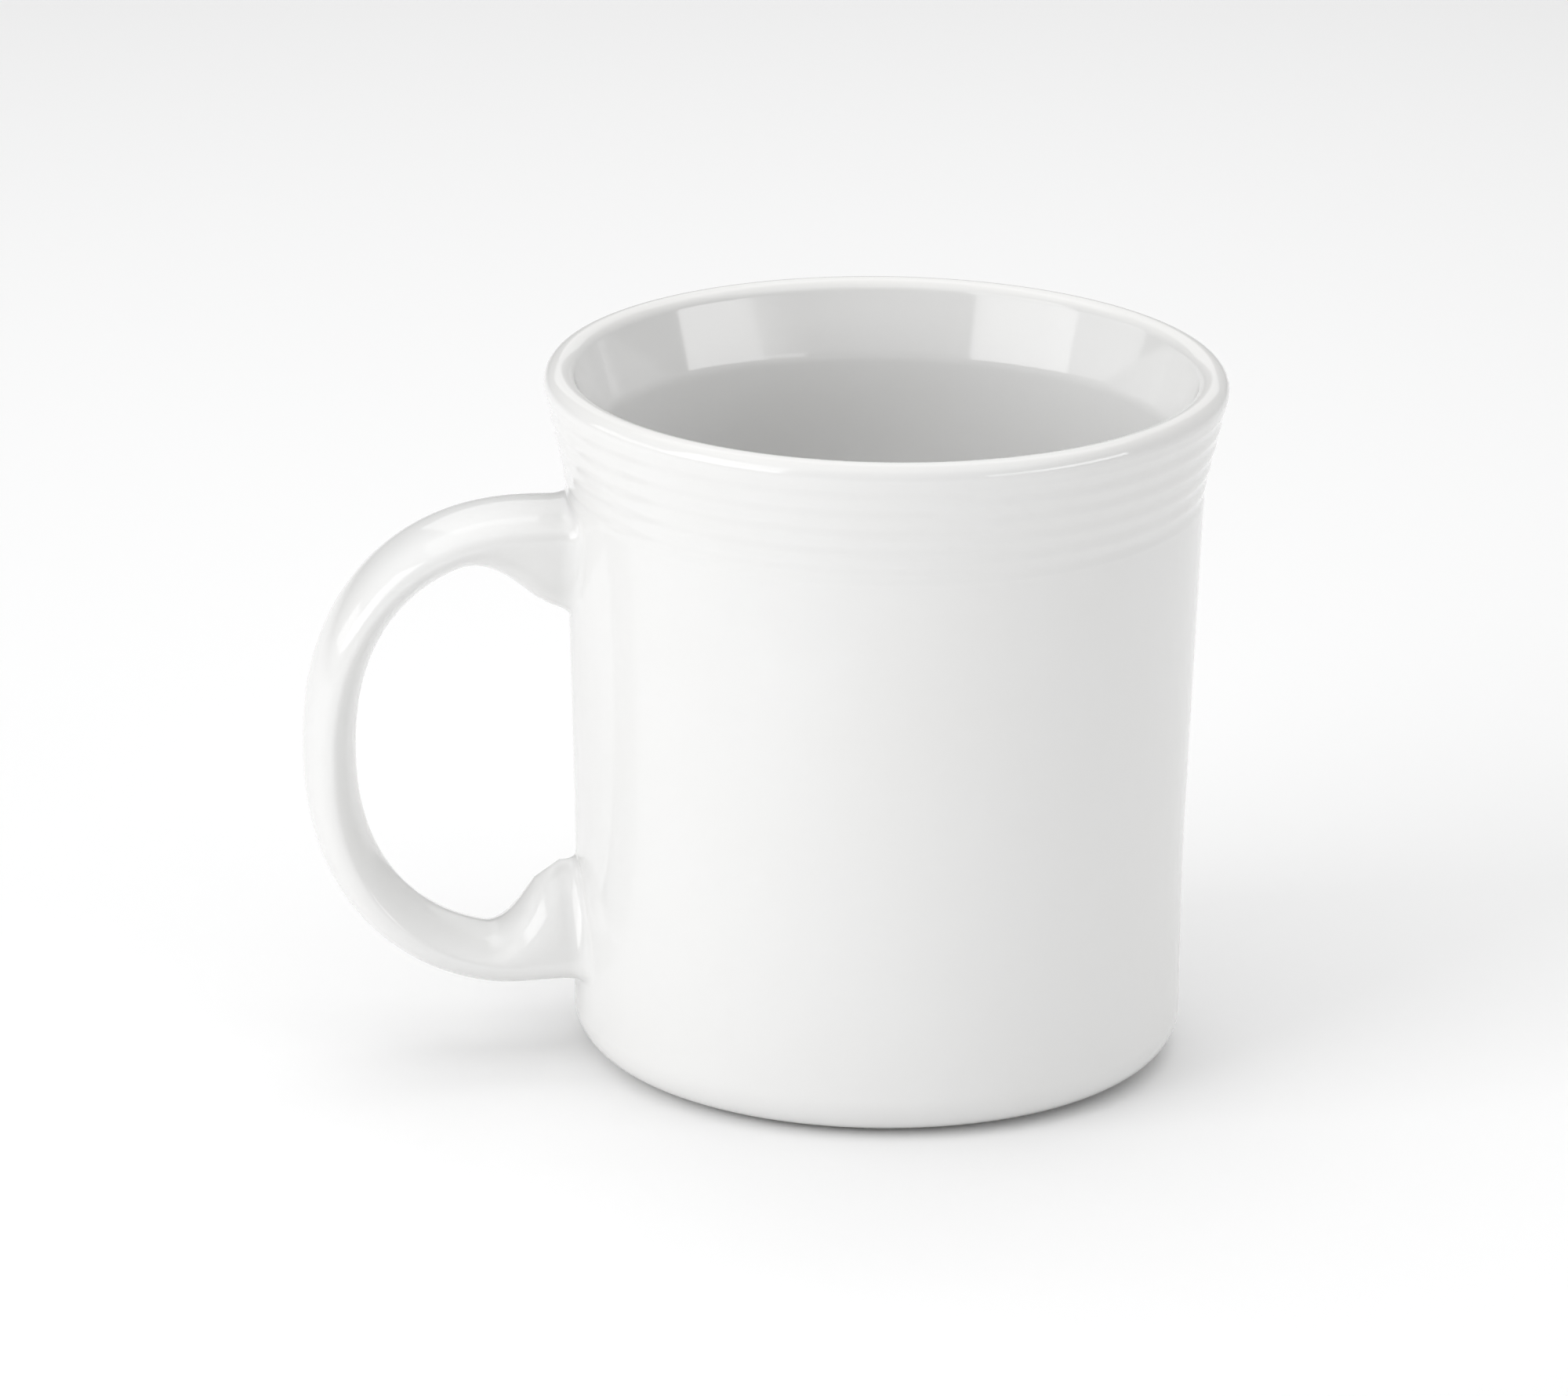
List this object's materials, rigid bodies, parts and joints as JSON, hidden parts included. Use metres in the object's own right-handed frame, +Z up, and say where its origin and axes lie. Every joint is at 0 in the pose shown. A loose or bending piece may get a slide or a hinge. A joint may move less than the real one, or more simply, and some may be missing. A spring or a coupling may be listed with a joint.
{
  "type": "mug",
  "caption": "Flared ceramic mug with soft grooves under a rounded lip, a loop handle luted on with slip, a glazed inside and a bare foot ring.",
  "frame": {"origin": "centre of the foot ring, on the plane that the mug stands on", "axes": "+Z up along the cup's axis, -X towards the handle"},
  "size_m": [0.1218, 0.09, 0.0935],
  "materials": {
    "fired_clay": "bare fired stoneware, matt, off-white",
    "fired_slip": "fired slip, matt, a shade darker than the clay",
    "white_glaze": "glossy opaque white glaze with a faint orange peel"
  },
  "bodies": {
    "root": {"cup_body": "fired_clay", "handle_body": "fired_clay", "upper_slip_joint": "fired_slip", "lower_slip_joint": "fired_slip", "outer_glaze": "white_glaze", "liner_glaze": "white_glaze", "handle_glaze": "white_glaze", "foot_glaze": "white_glaze"}
  },
  "joints": []
}
